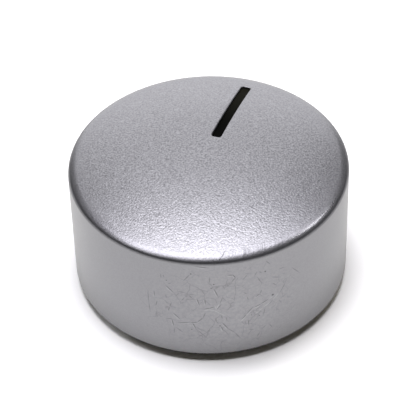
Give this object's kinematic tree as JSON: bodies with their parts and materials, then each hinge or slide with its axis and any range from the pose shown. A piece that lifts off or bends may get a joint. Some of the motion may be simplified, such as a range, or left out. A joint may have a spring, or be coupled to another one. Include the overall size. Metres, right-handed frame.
{
  "type": "coffee machine knob",
  "caption": "Round push-on control knob: a domed satin metal shell with a black pointer bar in a slot, over a ribbed plastic core whose split hub takes a D-shaft under a spring ring.",
  "frame": {"origin": "on the knob's axis, in the plane that the core's foot stands on, which is the front panel's side", "axes": "+Z along the knob's axis out of the dome, +Y the way that the pointer points, +X to its right seen from above"},
  "size_m": [0.042, 0.042, 0.0233],
  "materials": {
    "shell_silver": "fine bead-blasted satin silver with fine crazing and scratches on the skirt",
    "core_black": "black moulded plastic, fine spark texture",
    "spring_steel": "bright rolled spring strip"
  },
  "bodies": {
    "root": {"outer_shell": "shell_silver", "inner_core": "core_black", "spring_ring": "spring_steel"}
  },
  "joints": []
}
